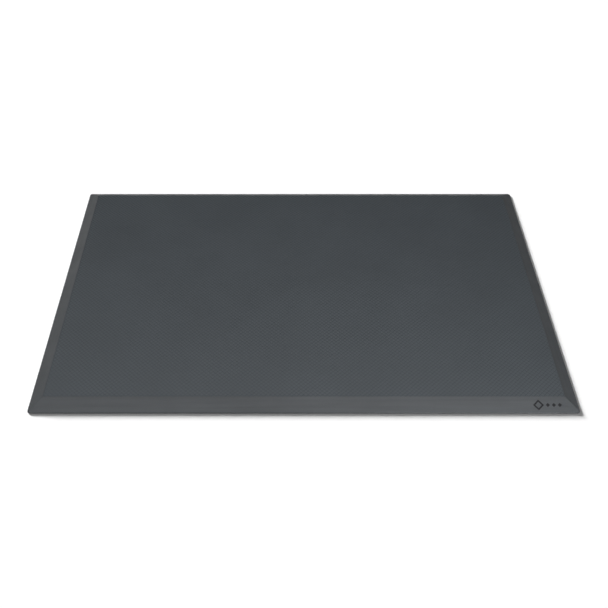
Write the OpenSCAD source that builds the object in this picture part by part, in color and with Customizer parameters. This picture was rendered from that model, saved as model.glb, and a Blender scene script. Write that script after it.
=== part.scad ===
// Standing mat with bevelled edges: an embossed wear sheet and a grip sheet bonded to a foam
// core, framed by four mitred edge ramps whose flanges lie under the core.
// Frame: X along the long side, Y along the short side, +Z up. The origin is the centre of
// the underside, on the floor, and -Y is the edge that the user steps onto.

/* [Overall] */
// Length of the mat along X
mat_length = 914; // [500:2:1200]
// Width of the mat along Y
mat_width = 610; // [400:2:900]
// Total thickness of the mat
mat_thickness = 16; // [12:0.5:24]
// Radius of the outer corners in plan
corner_radius = 5; // [3:0.5:12]

/* [Edge ramps] */
// Run of the bevel, from the outer edge to the wear sheet
ramp_run = 24; // [18:1:40]
// Height of the upright lip at the outer edge
lip_height = 2.5; // [1.5:0.5:5]
// Width of the flange that lies under the foam core
flange_width = 14; // [8:1:24]
// Number of grip grooves along the underside of each ramp
groove_count = 5; // [3:1:6]
// Width of one grip groove
groove_width = 2; // [1:0.5:2.5]
// Depth of one grip groove
groove_depth = 0.8; // [0.4:0.1:1.2]

/* [Layers] */
// Thickness of the embossed wear sheet
wear_thickness = 2; // [1:0.5:3]
// Thickness of each adhesive film
film_thickness = 0.3; // [0.2:0.1:0.5]
// Thickness of the grip sheet and of the ramps' flanges
grip_thickness = 2; // [1.5:0.5:3]

/* [Emblem] */
// Distance of the emblem's centre from the right end of the mat
emblem_inset = 54; // [50:1:80]
// Height of the large lozenge, measured up the slope
emblem_height = 18; // [10:1:18]
// Width of the large lozenge's outline
emblem_line = 2.5; // [1:0.5:3]
// Number of small lozenges beside the large one
emblem_dots = 3; // [1:1:4]
// Depth of the emblem's recess in the ramp
emblem_depth = 0.5; // [0.3:0.1:1]

/* [Hidden] */

$fn = 48;
cut = 1; // how far a cutting shape runs past the face that it opens

// Plan sizes of the bonded stack inside the ramps, and of the grip sheet inside the flanges
core_length = mat_length - 2 * ramp_run;
core_width = mat_width - 2 * ramp_run;
grip_length = core_length - 2 * flange_width;
grip_width = core_width - 2 * flange_width;

// Heights of the layers, from the floor up
film_lower_z = grip_thickness;
core_z = film_lower_z + film_thickness;
wear_z = mat_thickness - wear_thickness;
film_upper_z = wear_z - film_thickness;
core_thickness = film_upper_z - core_z;

// Slope of the bevel, and its length
ramp_angle = atan2(mat_thickness - lip_height, ramp_run);
ramp_slope = norm([ramp_run, mat_thickness - lip_height]);

// Ramp width with its flange, and the even spacing of the grooves across that width
ramp_reach = ramp_run + flange_width;
groove_pitch = ramp_reach / groove_count;

// Emblem: a lozenge outline with a row of small solid lozenges to its right
dot_height = emblem_height * 0.38;
dot_gap = dot_height * 0.45;
dot_pitch = dot_height + dot_gap;
emblem_length = emblem_height + emblem_dots * dot_pitch;
emblem_rise = 0.47; // height of the emblem's centre up the slope, as a share of the slope

wear_colour = "#4a5055";
ramp_colour = "#585b5f";
foam_colour = "#34373a";
film_colour = "#c9c4b4";
grip_colour = "#3c4043";
emblem_colour = "#3a3b40";

// A flat layer of the stack, centred in plan, with its underside at height z
module layer(length, width, thickness, z) {
    translate([-length / 2, -width / 2, z]) cube([length, width, thickness]);
}

// Half section of a corner cone: a lip of full height, and the bevel's slope up to the axis
module corner_section() {
    polygon([
        [0, 0], [corner_radius, 0], [corner_radius, lip_height],
        [0, lip_height + corner_radius * tan(ramp_angle)]
    ]);
}

// A block of the mat's thickness whose four corners are cones that follow the bevel
module rounded_blank(length, width) {
    layer(length - 2 * corner_radius, width, mat_thickness, 0);
    layer(length, width - 2 * corner_radius, mat_thickness, 0);
    for (sx = [-1, 1], sy = [-1, 1])
        translate([sx * (length / 2 - corner_radius), sy * (width / 2 - corner_radius), 0])
            rotate_extrude() corner_section();
}

// Section of a ramp: x runs inwards from the outer edge, y is the height
module ramp_section() {
    difference() {
        polygon([
            [0, 0], [0, lip_height], [ramp_run, mat_thickness], [ramp_run, grip_thickness],
            [ramp_reach, grip_thickness], [ramp_reach, 0]
        ]);
        for (i = [0 : groove_count - 1])
            translate([(i + 0.5) * groove_pitch - groove_width / 2, -cut])
                square([groove_width, groove_depth + cut]);
    }
}

// Plan of a ramp with mitred ends, its outer edge along y = -depth
module mitred_plan(length, depth) {
    half = length / 2;
    polygon([
        [-half, -depth], [half, -depth],
        [half - ramp_reach, -depth + ramp_reach], [-half + ramp_reach, -depth + ramp_reach]
    ]);
}

// A ramp along X with its outer edge at y = -depth
module ramp(length, depth) {
    intersection() {
        translate([-length / 2, -depth, 0])
            rotate([90, 0, 90]) linear_extrude(length) ramp_section();
        linear_extrude(mat_thickness) mitred_plan(length, depth);
        rounded_blank(length, 2 * depth);
    }
}

// The emblem's frame: x along the front ramp, y up its slope, z out of its face
module on_front_slope() {
    translate([mat_length / 2 - emblem_inset, -mat_width / 2, lip_height])
        rotate([ramp_angle, 0, 0]) translate([0, ramp_slope * emblem_rise, 0]) children();
}

// A square on its corner, of the given height
module lozenge(height) {
    rotate(45) square(height / sqrt(2), center = true);
}

// The emblem in its own frame, centred
module emblem_plan() {
    translate([(emblem_height - emblem_length) / 2, 0]) {
        difference() {
            lozenge(emblem_height);
            lozenge(emblem_height - 2 * emblem_line * sqrt(2));
        }
        for (i = [1 : emblem_dots])
            translate([(emblem_height - dot_height) / 2 + i * dot_pitch, 0])
                lozenge(dot_height);
    }
}

module wear_sheet() {
    color(wear_colour) layer(core_length, core_width, wear_thickness, wear_z);
}

module adhesive_film_upper() {
    color(film_colour) layer(core_length, core_width, film_thickness, film_upper_z);
}

module foam_core() {
    color(foam_colour) layer(core_length, core_width, core_thickness, core_z);
}

module adhesive_film_lower() {
    color(film_colour) layer(core_length, core_width, film_thickness, film_lower_z);
}

module grip_sheet() {
    color(grip_colour) layer(grip_length, grip_width, grip_thickness, 0);
}

module edge_ramp_front() {
    color(ramp_colour) difference() {
        ramp(mat_length, mat_width / 2);
        on_front_slope() translate([0, 0, -emblem_depth])
            linear_extrude(emblem_depth + cut) emblem_plan();
    }
}

module edge_ramp_rear() {
    color(ramp_colour) rotate(180) ramp(mat_length, mat_width / 2);
}

module edge_ramp_left() {
    color(ramp_colour) rotate(-90) ramp(mat_width, mat_length / 2);
}

module edge_ramp_right() {
    color(ramp_colour) rotate(90) ramp(mat_width, mat_length / 2);
}

module emblem_inlay() {
    color(emblem_colour) on_front_slope() translate([0, 0, -emblem_depth])
        linear_extrude(emblem_depth) emblem_plan();
}

wear_sheet();
adhesive_film_upper();
foam_core();
adhesive_film_lower();
grip_sheet();
edge_ramp_front();
edge_ramp_rear();
edge_ramp_left();
edge_ramp_right();
emblem_inlay();
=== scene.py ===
"""Looks of a bevelled standing mat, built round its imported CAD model.

Every length is in metres. The mat lies on the floor with the origin under its centre, +X along
its long side and +Z up, and its front edge, with the emblem, faces -Y.
"""
import math

import bmesh
import bpy
from mathutils import Matrix, Vector


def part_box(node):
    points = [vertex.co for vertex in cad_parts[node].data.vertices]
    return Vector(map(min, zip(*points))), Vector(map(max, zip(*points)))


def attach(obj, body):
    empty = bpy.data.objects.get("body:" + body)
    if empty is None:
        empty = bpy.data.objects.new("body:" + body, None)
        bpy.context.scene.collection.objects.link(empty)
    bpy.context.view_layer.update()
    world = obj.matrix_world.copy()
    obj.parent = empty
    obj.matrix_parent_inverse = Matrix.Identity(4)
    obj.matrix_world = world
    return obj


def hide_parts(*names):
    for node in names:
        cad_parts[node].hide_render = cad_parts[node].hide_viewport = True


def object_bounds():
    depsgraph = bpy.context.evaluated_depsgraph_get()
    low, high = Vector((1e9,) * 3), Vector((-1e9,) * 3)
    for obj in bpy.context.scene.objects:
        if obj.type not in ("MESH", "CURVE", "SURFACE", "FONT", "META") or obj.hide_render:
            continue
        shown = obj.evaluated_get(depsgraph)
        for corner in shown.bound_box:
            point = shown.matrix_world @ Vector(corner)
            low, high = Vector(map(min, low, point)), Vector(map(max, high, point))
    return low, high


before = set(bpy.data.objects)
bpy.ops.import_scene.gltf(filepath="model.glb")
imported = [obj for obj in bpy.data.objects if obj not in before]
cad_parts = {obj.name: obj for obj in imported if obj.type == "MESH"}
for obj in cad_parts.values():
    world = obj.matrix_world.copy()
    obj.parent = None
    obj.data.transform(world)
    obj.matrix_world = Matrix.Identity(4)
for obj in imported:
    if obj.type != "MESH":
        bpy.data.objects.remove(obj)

MM = 0.001
CAD_LOW, CAD_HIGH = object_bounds()
HALF_X, HALF_Y, TOP_Z = CAD_HIGH
_, WEAR_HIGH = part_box("wear_sheet")
GRIP_LOW, GRIP_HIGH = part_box("grip_sheet")

# The edge ramps, as in the CAD model
RAMP_RUN = HALF_X - WEAR_HIGH.x
RAMP_REACH = HALF_X - GRIP_HIGH.x
FLANGE_Z = GRIP_HIGH.z
LIP_Z = 2.5 * MM
CORNER_RADIUS = 5 * MM
GROOVE_COUNT = 5
GROOVE_WIDTH = 2 * MM
GROOVE_DEPTH = 0.8 * MM
RAMP_ANGLE = math.atan2(TOP_Z - LIP_Z, RAMP_RUN)

# Relief of the two sheets. A pad share is a lozenge's width in its cell
EMBOSS_CELL = 7.9 * MM
EMBOSS_DEPTH = 0.4 * MM
EMBOSS_PAD_SHARE = 0.74
TREAD_CELL = 15 * MM
TREAD_DEPTH = 0.9 * MM
TREAD_PAD_SHARE = 0.70

# Softened edges, as the distance from a sharp corner at which the rounding starts
FOOT_ROUND = 0.9 * MM
LIP_ROUND = 1.5 * MM
RIM_ROUND = 0.5 * MM
FLANGE_ROUND = 0.3 * MM
GROOVE_ROUND = 0.2 * MM
FOAM_ROUND = 1.2 * MM

# Steps round each of the mat's corners
ARC_STEPS = 16

# How far each ramp stops short of its mitre
MITRE_GAP = 0.1 * MM

# Going anticlockwise, the ramp from one corner to the next is right, rear, left and front
CORNER_SIGNS = [(1, -1), (1, 1), (-1, 1), (-1, -1)]


# ---------------------------------------------------------------- mesh helpers


def mesh_piece(name, bm, material, sharp_angle=40):
    """A smooth-shaded object from a bmesh, with edges sharper than an angle kept crisp."""
    bmesh.ops.recalc_face_normals(bm, faces=bm.faces)
    mesh = bpy.data.meshes.new(name)
    bm.to_mesh(mesh)
    bm.free()
    mesh.shade_smooth()
    mesh.set_sharp_from_angle(angle=math.radians(sharp_angle))
    mesh.materials.append(material)
    piece = bpy.data.objects.new(name, mesh)
    bpy.context.scene.collection.objects.link(piece)
    return piece


def flatten_shading(piece):
    """Lets a piece's large flat faces shade flat beside its small rounded ones."""
    weighted = piece.modifiers.new("face_weights", "WEIGHTED_NORMAL")
    weighted.keep_sharp = True


def stand_for(piece, node):
    """Puts a finished piece in the place of a CAD node."""
    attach(piece, "root")
    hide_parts(node)
    return piece


def rounded(corners, steps=4):
    """A closed outline from (x, y, reach) corners, each rounded off from that reach away."""
    outline = []
    count = len(corners)
    for i, (x, y, reach) in enumerate(corners):
        corner = Vector((x, y))
        if reach == 0:
            outline.append(corner)
            continue
        before = Vector(corners[i - 1][:2])
        after = Vector(corners[(i + 1) % count][:2])
        start = corner + (before - corner).normalized() * reach
        end = corner + (after - corner).normalized() * reach
        for step in range(steps + 1):
            t = step / steps
            outline.append(start * (1 - t) ** 2 + corner * 2 * t * (1 - t) + end * t**2)
    return outline


# ---------------------------------------------------------------- edge ramps


def slope_z(inward):
    """Height of the bevel at a distance in from the mat's outer edge."""
    return LIP_Z + inward * math.tan(RAMP_ANGLE)


def ramp_section():
    """Closed section of a ramp, as (inward distance, height) points."""
    corners = [
        (0, 0, FOOT_ROUND),
        (0, LIP_Z, LIP_ROUND),
        (CORNER_RADIUS, slope_z(CORNER_RADIUS), 0),
        (RAMP_RUN, TOP_Z, RIM_ROUND),
        (RAMP_RUN, FLANGE_Z, 0),
        (RAMP_REACH, FLANGE_Z, FLANGE_ROUND),
        (RAMP_REACH, 0, FLANGE_ROUND),
    ]
    pitch = RAMP_REACH / GROOVE_COUNT
    for i in reversed(range(GROOVE_COUNT)):
        inner = (i + 0.5) * pitch + GROOVE_WIDTH / 2
        outer = inner - GROOVE_WIDTH
        corners += [
            (inner, 0, GROOVE_ROUND),
            (inner, GROOVE_DEPTH, 0),
            (outer, GROOVE_DEPTH, 0),
            (outer, 0, GROOVE_ROUND),
        ]
    return rounded(corners)


def border_point(corner, turn, inward):
    """Plan position on the border, turn of the way round a corner, a distance in from the edge."""
    sign_x, sign_y = CORNER_SIGNS[corner]
    if inward >= CORNER_RADIUS:
        return sign_x * (HALF_X - inward), sign_y * (HALF_Y - inward)
    angle = (corner - 1 + turn) * math.pi / 2
    radius = CORNER_RADIUS - inward
    centre_x = sign_x * (HALF_X - CORNER_RADIUS)
    centre_y = sign_y * (HALF_Y - CORNER_RADIUS)
    return centre_x + radius * math.cos(angle), centre_y + radius * math.sin(angle)


def border_ring():
    """The whole border as one closed ring with conical corners."""
    bm = bmesh.new()
    section = ramp_section()
    rings = []
    for corner in range(4):
        for step in range(ARC_STEPS + 1):
            ring = []
            for inward, height in section:
                x, y = border_point(corner, step / ARC_STEPS, inward)
                ring.append(bm.verts.new((x, y, height)))
            rings.append(ring)
    for i, ring in enumerate(rings):
        following = rings[(i + 1) % len(rings)]
        for j in range(len(section)):
            k = (j + 1) % len(section)
            bm.faces.new((ring[j], following[j], following[k], ring[k]))
    bmesh.ops.remove_doubles(bm, verts=bm.verts, dist=0.001 * MM)
    return bm


def cut_mitre(bm, corner, keep):
    """Cuts the border along a corner's mitre and keeps what lies after (1) or before (-1) it."""
    sign_x, sign_y = CORNER_SIGNS[corner]
    along = Vector((-sign_y, sign_x, 0)).normalized() * keep
    bmesh.ops.bisect_plane(
        bm,
        geom=[*bm.verts, *bm.edges, *bm.faces],
        plane_co=Vector((sign_x * HALF_X, sign_y * HALF_Y, 0)) + along * MITRE_GAP,
        plane_no=along,
        clear_inner=True,
    )
    bmesh.ops.holes_fill(bm, edges=[e for e in bm.edges if e.is_boundary], sides=0)


def edge_ramp(side, corner, material):
    """The mitred ramp that runs anticlockwise from a corner to the next one."""
    bm = border_ring()
    cut_mitre(bm, corner, 1)
    cut_mitre(bm, (corner + 1) % 4, -1)
    piece = mesh_piece("ramp_" + side, bm, material, 30)
    return stand_for(piece, "edge_ramp_" + side)


# ---------------------------------------------------------------- embossed sheets

RIM_SET_BACK = 1 / 3


def lozenge_lattice(low, high, cell, share, face_z, groove_z):
    """Raised lozenges over a rectangle, with V grooves between them, as vertices and faces.

    The lattice has a lozenge wherever its two indices add up to an even number, and a groove
    crossing wherever they add up to an odd one. Share is a pad's width in its cell.
    """
    count_x = 2 * round((high.x - low.x) / cell)
    count_y = 2 * round((high.y - low.y) / cell)
    step_x = (high.x - low.x) / count_x
    step_y = (high.y - low.y) / count_y
    verts, crossings, faces = [], {}, []

    def add(p, q, z):
        verts.append((low.x + p * step_x, low.y + q * step_y, z))
        return len(verts) - 1

    for p in range(count_x + 1):
        for q in range(count_y + 1):
            if (p + q) % 2:
                crossings[p, q] = add(p, q, groove_z)
    for p in range(count_x + 1):
        for q in range(p % 2, count_y + 1, 2):
            ways = [(1, 0), (0, 1), (-1, 0), (0, -1)]
            tips = [
                add(p + dx * share, q + dy * share, face_z) if (p + dx, q + dy) in crossings else None
                for dx, dy in ways
            ]
            pad = [tip for tip in tips if tip is not None]
            if len(pad) == 2:
                pad.insert(1 if tips[0] is not None and tips[3] is not None else 0, add(p, q, face_z))
            faces.append(pad)
            for i in range(4):
                k = (i + 1) % 4
                if tips[i] is not None and tips[k] is not None:
                    here = crossings[p + ways[i][0], q + ways[i][1]]
                    there = crossings[p + ways[k][0], q + ways[k][1]]
                    faces.append([here, there, tips[k], tips[i]])
    return verts, faces


def embossed_sheet(name, node, cell, share, depth, upwards, material):
    """A sheet as big as its CAD node, with lozenges on its top or underside. Its rim is set back
    by part of the relief's depth."""
    low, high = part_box(node)
    face_z, back_z = (high.z, low.z) if upwards else (low.z, high.z)
    inwards = -1 if upwards else 1
    verts, faces = lozenge_lattice(low, high, cell, share, face_z, face_z + inwards * depth)
    mesh = bpy.data.meshes.new(name)
    mesh.from_pydata(verts, [], faces)
    bm = bmesh.new()
    bm.from_mesh(mesh)
    bpy.data.meshes.remove(mesh)
    rim = [e for e in bm.edges if e.is_boundary]
    for vert in {v for e in rim for v in e.verts}:
        vert.co.z += inwards * depth * RIM_SET_BACK
    walls = bmesh.ops.extrude_edge_only(bm, edges=rim)["geom"]
    for vert in (g for g in walls if isinstance(g, bmesh.types.BMVert)):
        vert.co.z = back_z
    back = [g for g in walls if isinstance(g, bmesh.types.BMEdge) and g.is_boundary]
    bmesh.ops.contextual_create(bm, geom=back)
    piece = mesh_piece(name, bm, material, 50)
    flatten_shading(piece)
    return stand_for(piece, node)


# ---------------------------------------------------------------- foam core


def foam_block(material):
    """The foam core, with its cut edges softened."""
    low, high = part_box("foam_core")
    bm = bmesh.new()
    bmesh.ops.create_cube(bm, size=1, matrix=Matrix.Diagonal((*(high - low), 1)))
    bmesh.ops.translate(bm, verts=bm.verts, vec=(low + high) / 2)
    bmesh.ops.bevel(bm, geom=bm.edges, offset=FOAM_ROUND, segments=4, profile=0.5, affect="EDGES")
    piece = mesh_piece("foam_cushion", bm, material, 60)
    flatten_shading(piece)
    return stand_for(piece, "foam_core")


# ---------------------------------------------------------------- emblem

EMBLEM_HEIGHT = 18 * MM
EMBLEM_LINE = 2.5 * MM
DOT_HEIGHT = 0.38 * EMBLEM_HEIGHT
DOT_PITCH = 1.45 * DOT_HEIGHT
DOT_COUNT = 3
EMBLEM_DEPTH = 0.5 * MM
EMBLEM_PROUD = 0.12 * MM
EMBLEM_ROUND = 0.25 * MM
RECESS_CLEARANCE = 0.08 * MM


def emblem_frame():
    """The emblem's frame: x along the front ramp, y up its slope and z out of its face."""
    low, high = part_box("emblem_inlay")
    middle = (low + high) / 2
    normal = Vector((0, -math.sin(RAMP_ANGLE), math.cos(RAMP_ANGLE)))
    face = middle + normal * EMBLEM_DEPTH / 2
    return Matrix.Translation(face) @ Matrix.Rotation(RAMP_ANGLE, 4, "X")


def lozenge(bm, centre_x, height, z):
    """Four vertices of a square on its corner, anticlockwise."""
    reach = height / 2
    ways = [(1, 0), (0, 1), (-1, 0), (0, -1)]
    return [bm.verts.new((centre_x + dx * reach, dy * reach, z)) for dx, dy in ways]


def bridge(bm, lower, upper):
    """Faces between two loops of four vertices."""
    for i in range(4):
        k = (i + 1) % 4
        bm.faces.new((lower[i], lower[k], upper[k], upper[i]))


def emblem_mesh(levels):
    """The ring and its dots as a closed mesh, through (height, inset) levels from the bottom up."""
    bm = bmesh.new()
    length = EMBLEM_HEIGHT + DOT_COUNT * DOT_PITCH
    ring_x = (EMBLEM_HEIGHT - length) / 2
    hole_height = EMBLEM_HEIGHT - 2 * EMBLEM_LINE * math.sqrt(2)
    inset_scale = 2 * math.sqrt(2)
    outer = [lozenge(bm, ring_x, EMBLEM_HEIGHT - inset_scale * inset, z) for z, inset in levels]
    inner = [lozenge(bm, ring_x, hole_height + inset_scale * inset, z) for z, inset in levels]
    for i in range(len(levels) - 1):
        bridge(bm, outer[i], outer[i + 1])
        bridge(bm, inner[i + 1], inner[i])
    bridge(bm, inner[0], outer[0])
    bridge(bm, outer[-1], inner[-1])
    for dot in range(1, DOT_COUNT + 1):
        dot_x = ring_x + (EMBLEM_HEIGHT - DOT_HEIGHT) / 2 + dot * DOT_PITCH
        loops = [lozenge(bm, dot_x, DOT_HEIGHT - inset_scale * inset, z) for z, inset in levels]
        for i in range(len(levels) - 1):
            bridge(bm, loops[i], loops[i + 1])
        bm.faces.new(reversed(loops[0]))
        bm.faces.new(loops[-1])
    bmesh.ops.transform(bm, matrix=emblem_frame(), verts=bm.verts)
    return bm


def emblem(material):
    """The inlaid emblem, standing a little proud of the front ramp."""
    levels = [
        (-EMBLEM_DEPTH, 0),
        (EMBLEM_PROUD - EMBLEM_ROUND / 2, 0),
        (EMBLEM_PROUD, EMBLEM_ROUND),
    ]
    piece = mesh_piece("emblem", emblem_mesh(levels), material, 50)
    return stand_for(piece, "emblem_inlay")


def cut_recess(ramp):
    """Cuts the emblem's recess into the front ramp."""
    levels = [(-EMBLEM_DEPTH, -RECESS_CLEARANCE), (2 * EMBLEM_DEPTH, -RECESS_CLEARANCE)]
    cutter = mesh_piece("recess_cutter", emblem_mesh(levels), ramp.data.materials[0])
    recess = ramp.modifiers.new("recess", "BOOLEAN")
    recess.operation = "DIFFERENCE"
    recess.solver = "EXACT"
    recess.object = cutter
    graph = bpy.context.evaluated_depsgraph_get()
    cut = bpy.data.meshes.new_from_object(ramp.evaluated_get(graph), depsgraph=graph)
    ramp.modifiers.clear()
    ramp.data = cut
    bpy.data.objects.remove(cutter)


# ---------------------------------------------------------------- materials


def add_node(tree, kind, settings=None, **inputs):
    """Adds a shader node. An input given a socket is linked to it, and any other is set."""
    made = tree.nodes.new(kind)
    for name, value in (settings or {}).items():
        setattr(made, name, value)
    for name, value in inputs.items():
        socket = made.inputs[name.replace("_", " ")]
        if isinstance(value, bpy.types.NodeSocket):
            tree.links.new(value, socket)
        else:
            socket.default_value = value
    return made


def new_material(name):
    """An empty material, with its node tree, its shader and a socket of object coordinates."""
    material = bpy.data.materials.new(name)
    material.use_nodes = True
    tree = material.node_tree
    shader = tree.nodes["Principled BSDF"]
    place = add_node(tree, "ShaderNodeTexCoord").outputs["Object"]
    return material, tree, shader, place


def noise(tree, place, scale, detail=3.0, roughness=0.5):
    """Noise from 0 to 1 with that many features in a metre."""
    return add_node(
        tree, "ShaderNodeTexNoise", Vector=place, Scale=scale, Detail=detail, Roughness=roughness
    ).outputs["Fac"]


def spread(tree, value, from_low, from_high, to_low, to_high):
    """Maps a value from one range to another, and holds it inside."""
    return add_node(
        tree,
        "ShaderNodeMapRange",
        Value=value,
        From_Min=from_low,
        From_Max=from_high,
        To_Min=to_low,
        To_Max=to_high,
    ).outputs["Result"]


def blend_colours(tree, share, low, high):
    """A colour between two others. Each is a socket or an (r, g, b)."""
    mix = tree.nodes.new("ShaderNodeMix")
    mix.data_type = "RGBA"
    tree.links.new(share, mix.inputs["Factor"])
    for name, colour in (("A", low), ("B", high)):
        socket = next(s for s in mix.inputs if s.name == name and s.type == "RGBA")
        if isinstance(colour, bpy.types.NodeSocket):
            tree.links.new(colour, socket)
        else:
            socket.default_value = (*colour, 1)
    return next(s for s in mix.outputs if s.type == "RGBA")


def larger(tree, first, second):
    """The larger of two values."""
    most = add_node(tree, "ShaderNodeMath", {"operation": "MAXIMUM"})
    tree.links.new(first, most.inputs[0])
    tree.links.new(second, most.inputs[1])
    return most.outputs["Value"]


def shade(colour, factor):
    """A colour made darker or lighter."""
    return tuple(channel * factor for channel in colour)


def drawn_lines(tree, place, surface, strength):
    """Faint lines along the bevels, at even heights, where the rubber was drawn out."""
    drawn_out = add_node(tree, "ShaderNodeMapping", Vector=place, Scale=(0.02, 0.02, 1)).outputs["Vector"]
    lines = spread(tree, noise(tree, drawn_out, 300, 3, 0.6), 0.35, 0.65, 1 - strength, 1 + strength)
    scaled = add_node(tree, "ShaderNodeVectorMath", {"operation": "SCALE"}, Scale=lines)
    tree.links.new(surface, scaled.inputs["Vector"])
    return scaled.outputs["Vector"]


def rubber(name, colour, roughness, grain, depth, groove_dust_and_shade=None, drawn=0, gloss=0.5):
    """Moulded rubber: broad mottling, fine speckle and a pebbled grain of a few tenths of a
    millimetre. The groove colour is an (r, g, b) with the heights between which it fills the relief, and it
    is
    matt: on the wear sheet it is painted shade in the grooves, on the grip sheet pale dust. Drawn is the
    strength of the lines along a drawn-out piece."""
    material, tree, shader, place = new_material(name)
    broad = spread(tree, noise(tree, place, 7, 4), 0.3, 0.7, 0, 1)
    surface = blend_colours(tree, broad, shade(colour, 0.93), shade(colour, 1.07))
    speckle = spread(tree, noise(tree, place, 900, 2), 0.62, 0.8, 0, 0.5)
    surface = blend_colours(tree, speckle, surface, shade(colour, 1.6))
    patches = noise(tree, place, 30, 5, 0.6)
    polish = spread(tree, patches, 0.3, 0.7, roughness - 0.05, roughness + 0.06)
    if drawn:
        surface = drawn_lines(tree, place, surface, drawn)
    if groove_dust_and_shade:
        # Low parts of the relief take this colour: painted shade in the wear sheet's grooves, pale dust in
        # the grip sheet's
        groove_dust_and_shade_colour, bare_z, full_z = groove_dust_and_shade
        height = add_node(tree, "ShaderNodeSeparateXYZ", Vector=place).outputs["Z"]
        share = spread(tree, height, bare_z, full_z, 0, 1)
        surface = blend_colours(tree, share, surface, groove_dust_and_shade_colour)
        matt = spread(tree, share, 0, 1, 0, 0.95)
        polish = larger(tree, polish, matt)
    tree.links.new(surface, shader.inputs["Base Color"])
    tree.links.new(polish, shader.inputs["Roughness"])
    shader.inputs["Specular IOR Level"].default_value = gloss
    pebbles = add_node(
        tree, "ShaderNodeTexVoronoi", {"feature": "SMOOTH_F1"}, Vector=place, Scale=grain, Smoothness=0.6
    ).outputs["Distance"]
    rough = noise(tree, place, grain * 2.5, 2)
    pitted = add_node(tree, "ShaderNodeBump", Strength=0.5, Distance=depth, Height=pebbles)
    fine = add_node(
        tree, "ShaderNodeBump", Strength=0.35, Distance=depth, Height=rough, Normal=pitted.outputs["Normal"]
    )
    tree.links.new(fine.outputs["Normal"], shader.inputs["Normal"])
    return material


def foam_material():
    """Closed-cell foam: a fine honeycomb of cells with thin walls."""
    material, tree, shader, place = new_material("cellular_foam")
    cells = add_node(tree, "ShaderNodeTexVoronoi", {"feature": "DISTANCE_TO_EDGE"}, Vector=place, Scale=900)
    walls = spread(tree, cells.outputs["Distance"], 0.0, 0.12, 1, 0)
    skin = spread(tree, noise(tree, place, 60, 4), 0.35, 0.65, 0, 1)
    body = blend_colours(tree, skin, (0.026, 0.029, 0.032), (0.040, 0.044, 0.048))
    tree.links.new(blend_colours(tree, walls, body, (0.075, 0.080, 0.085)), shader.inputs["Base Color"])
    tree.links.new(spread(tree, walls, 0, 1, 0.95, 0.8), shader.inputs["Roughness"])
    bump = add_node(tree, "ShaderNodeBump", Strength=0.8, Distance=0.3 * MM, Height=walls)
    tree.links.new(bump.outputs["Normal"], shader.inputs["Normal"])
    return material


def film_material():
    """Heat-set adhesive film: cloudy amber with flow streaks."""
    material, tree, shader, place = new_material("adhesive_film")
    stretched = add_node(tree, "ShaderNodeMapping", Vector=place, Scale=(1, 9, 1)).outputs["Vector"]
    streaks = spread(tree, noise(tree, stretched, 14, 5, 0.6), 0.35, 0.65, 0, 1)
    colour = blend_colours(tree, streaks, (0.50, 0.46, 0.36), (0.66, 0.62, 0.52))
    tree.links.new(colour, shader.inputs["Base Color"])
    tree.links.new(spread(tree, streaks, 0, 1, 0.3, 0.5), shader.inputs["Roughness"])
    ripples = noise(tree, stretched, 120, 2)
    bump = add_node(tree, "ShaderNodeBump", Strength=0.4, Distance=0.05 * MM, Height=ripples)
    tree.links.new(bump.outputs["Normal"], shader.inputs["Normal"])
    return material


# ---------------------------------------------------------------- the mat

wear_rubber = rubber(
    "wear_rubber",
    (0.042, 0.050, 0.057),
    0.56,
    1500,
    0.05 * MM,
    # Painted shade: the grooves are coloured darker than the lozenges, standing in for the shade that falls
    # in them
    groove_dust_and_shade=((0.032, 0.038, 0.044), WEAR_HIGH.z - 0.05 * MM, WEAR_HIGH.z - 0.3 * MM),
)
ramp_rubber = rubber("ramp_rubber", (0.042, 0.046, 0.050), 0.58, 1800, 0.03 * MM, drawn=0.08, gloss=0.4)
grip_rubber = rubber(
    "grip_rubber",
    (0.030, 0.033, 0.036),
    0.72,
    1200,
    0.06 * MM,
    groove_dust_and_shade=((0.060, 0.058, 0.054), GRIP_LOW.z + 0.1 * MM, GRIP_LOW.z + TREAD_DEPTH),
)
ink = rubber("emblem_ink", (0.010, 0.010, 0.012), 0.75, 2200, 0.02 * MM, gloss=0.25)
adhesive = film_material()

embossed_sheet(
    "wear_surface",
    "wear_sheet",
    EMBOSS_CELL,
    EMBOSS_PAD_SHARE,
    EMBOSS_DEPTH,
    True,
    wear_rubber,
)
embossed_sheet(
    "grip_underside",
    "grip_sheet",
    TREAD_CELL,
    TREAD_PAD_SHARE,
    TREAD_DEPTH,
    False,
    grip_rubber,
)
ramps = {
    side: edge_ramp(side, corner, ramp_rubber)
    for corner, side in enumerate(["right", "rear", "left", "front"])
}
cut_recess(ramps["front"])
for ramp in ramps.values():
    flatten_shading(ramp)
emblem(ink)
foam_block(foam_material())
for film in ("adhesive_film_upper", "adhesive_film_lower"):
    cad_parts[film].data.materials.clear()
    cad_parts[film].data.materials.append(adhesive)


# ---------------------------------------------------------------- studio

FLOOR_REACH = 20
WALL_DISTANCE = 15
WALL_HEIGHT = 24

# Each softbox's name, place, target, width, height and power in watts
SOFTBOXES = (
    ("left_key", (-0.8, -0.9, 0.5), (-0.5, -0.3, 0), 0.4, 0.3, 4.2),
    ("right_key", (0.4, -0.9, 0.3), (0.42, -0.3, 0), 0.4, 0.2, 5),
    ("left_rim", (-1.4, 0.9, 0.6), (-0.4, 0.2, 0), 0.6, 0.4, 2.4),
    ("overhead", (0, 0, 2.2), (0, 0, 0), 1.6, 1.0, 39.6),
)


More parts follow.
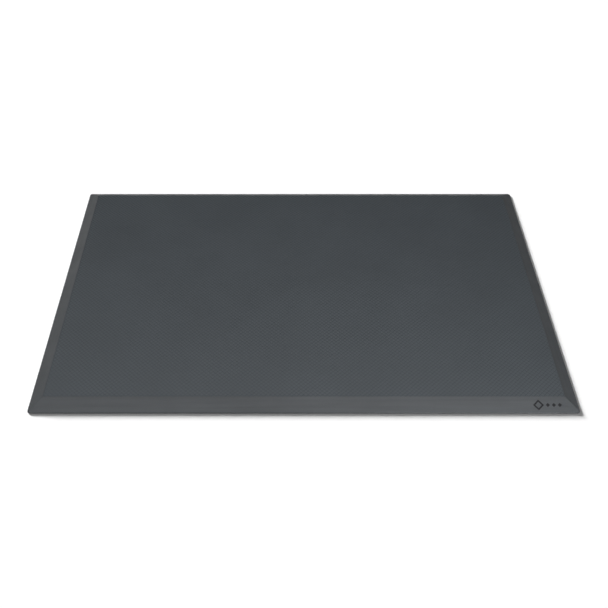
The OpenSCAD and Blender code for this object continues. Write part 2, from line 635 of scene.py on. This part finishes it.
def floor():
    """A plain pale floor, just under the mat."""
    material, _, shader, _ = new_material("studio_floor")
    shader.inputs["Base Color"].default_value = (0.90, 0.90, 0.90, 1)
    shader.inputs["Roughness"].default_value = 0.8
    shader.inputs["Specular IOR Level"].default_value = 0.2
    bm = bmesh.new()
    bmesh.ops.create_grid(bm, x_segments=1, y_segments=1, size=FLOOR_REACH)
    bmesh.ops.translate(bm, verts=bm.verts, vec=(0, 0, -0.1 * MM))
    ground = mesh_piece("floor", bm, material)
    return ground


def light_only(lamp, *pieces):
    """Limits a light to certain pieces. Its shadows still come from everything."""
    lit = bpy.data.collections.new(lamp.name + "_lights")
    for piece in pieces:
        lit.objects.link(piece)
    lamp.light_linking.receiver_collection = lit


def softbox(name, place, target, width, height, power):
    """A rectangular light at a place, facing a target, hidden from the camera."""
    light = bpy.data.lights.new(name, "AREA")
    light.shape = "RECTANGLE"
    light.size = width
    light.size_y = height
    light.energy = power
    lamp = bpy.data.objects.new(name, light)
    lamp.location = place
    lamp.rotation_euler = (Vector(target) - Vector(place)).to_track_quat("-Z", "Y").to_euler()
    lamp.visible_camera = False
    bpy.context.scene.collection.objects.link(lamp)
    return lamp


def broad_light(name, azimuth, elevation, angle, strength):
    """An even light from far away, as wide as its angle. Angles are in degrees. Azimuth is from +Y,
    and positive is towards +X."""
    light = bpy.data.lights.new(name, "SUN")
    light.energy = strength
    light.angle = math.radians(angle)
    lamp = bpy.data.objects.new(name, light)
    turn = math.radians(azimuth)
    rise = math.radians(elevation)
    away = Vector((math.sin(turn) * math.cos(rise), math.cos(turn) * math.cos(rise), math.sin(rise)))
    lamp.rotation_euler = away.to_track_quat("Z", "Y").to_euler()
    bpy.context.scene.collection.objects.link(lamp)
    return lamp


def backdrop():
    """A plain pale wall round the floor. Only the camera sees it, so it lights nothing."""
    material, _, shader, _ = new_material("studio_backdrop")
    shader.inputs["Base Color"].default_value = (0, 0, 0, 1)
    shader.inputs["Specular IOR Level"].default_value = 0
    shader.inputs["Emission Color"].default_value = (1, 1, 1, 1)
    shader.inputs["Emission Strength"].default_value = 1
    bm = bmesh.new()
    bmesh.ops.create_cone(
        bm, segments=96, radius1=WALL_DISTANCE, radius2=WALL_DISTANCE, depth=WALL_HEIGHT
    )
    wall = mesh_piece("backdrop", bm, material)
    wall.visible_diffuse = False
    wall.visible_glossy = False
    wall.visible_transmission = False
    wall.visible_shadow = False


def studio():
    """A dim room round a pale floor. Softboxes light the mat. The floor has two lights of its own:
    a low one from behind on the left, which draws the mat's shadow, and a fill from above."""
    world = bpy.data.worlds.new("dim_room")
    world.use_nodes = True
    world.node_tree.nodes["Background"].inputs["Color"].default_value = (1, 1, 1, 1)
    world.node_tree.nodes["Background"].inputs["Strength"].default_value = 0.08
    bpy.context.scene.world = world
    mat = [o for o in bpy.context.scene.objects if o.type == "MESH"]
    for settings in SOFTBOXES:
        light_only(softbox(*settings), *mat)
    ground = floor()
    light_only(broad_light("low_floor_light", -41, 21, 9, 7.9), ground)
    light_only(broad_light("floor_fill", 180, 70, 60, 0.5), ground)
    backdrop()


def camera():
    """The main view: from the front, a little left of centre, looking down at the mat."""
    data = bpy.data.cameras.new("main_view")
    data.lens = 49.4
    data.sensor_width = 36
    data.shift_x = 0.0253
    eye = bpy.data.objects.new("main_view", data)
    eye.location = (-0.025, -1.181, 1.078)
    eye.rotation_euler = (math.radians(46.59), 0, 0)
    bpy.context.scene.collection.objects.link(eye)
    bpy.context.scene.camera = eye


studio()
camera()
bpy.context.scene.view_settings.view_transform = "Standard"
